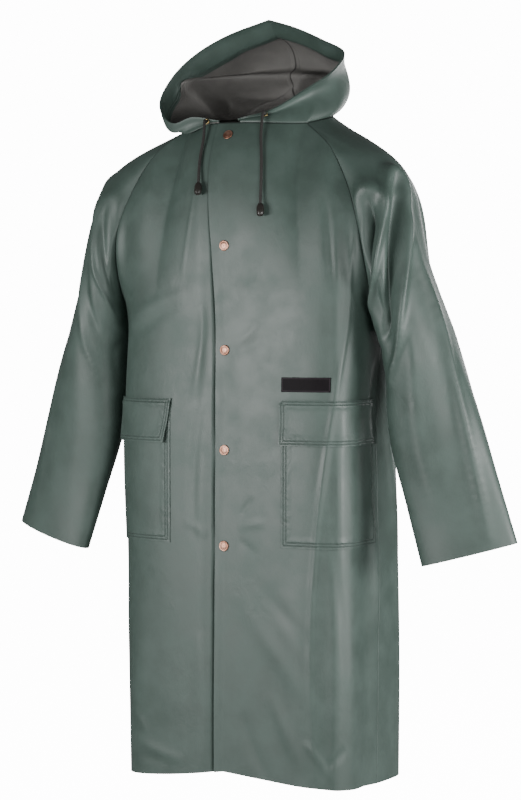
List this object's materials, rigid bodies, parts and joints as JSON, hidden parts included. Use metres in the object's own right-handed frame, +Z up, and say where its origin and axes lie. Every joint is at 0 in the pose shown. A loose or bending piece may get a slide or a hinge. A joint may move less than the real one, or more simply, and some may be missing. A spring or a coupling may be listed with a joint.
{
  "type": "hooded raincoat",
  "caption": "Long hooded raincoat with raglan sleeves, snap front, flap pockets and hood drawcord, hollow and filled out as worn with no wearer.",
  "frame": {"origin": "middle of the neck at the height of the shoulders' neck points, where the coat rests on its wearer", "axes": "+Z up, the front faces -Y, the wearer's left is +X"},
  "size_m": [0.9748, 0.3109, 1.3387],
  "materials": {
    "coated_cloth": "semi-gloss coating outside, grey knit inside",
    "dark_patch": "satin",
    "snap_metal": "antique copper plating",
    "eyelet_metal": "antique brass",
    "cord": "braided",
    "cord_end_plastic": "satin"
  },
  "bodies": {
    "root": {"front_left": "coated_cloth", "front_right": "coated_cloth", "back": "coated_cloth", "sleeve_left": "coated_cloth", "sleeve_right": "coated_cloth", "hood_left": "coated_cloth", "hood_right": "coated_cloth", "hood_edge_left": "coated_cloth", "hood_edge_right": "coated_cloth", "pocket_left": "coated_cloth", "pocket_right": "coated_cloth", "pocket_flap_left": "coated_cloth", "pocket_flap_right": "coated_cloth", "chest_patch": "dark_patch", "snap_1": "snap_metal", "snap_2": "snap_metal", "snap_3": "snap_metal", "snap_4": "snap_metal", "snap_5": "snap_metal", "eyelet_left": "eyelet_metal", "eyelet_right": "eyelet_metal", "drawcord_left": "cord", "drawcord_right": "cord", "cord_end_left": "cord_end_plastic", "cord_end_right": "cord_end_plastic"}
  },
  "joints": []
}
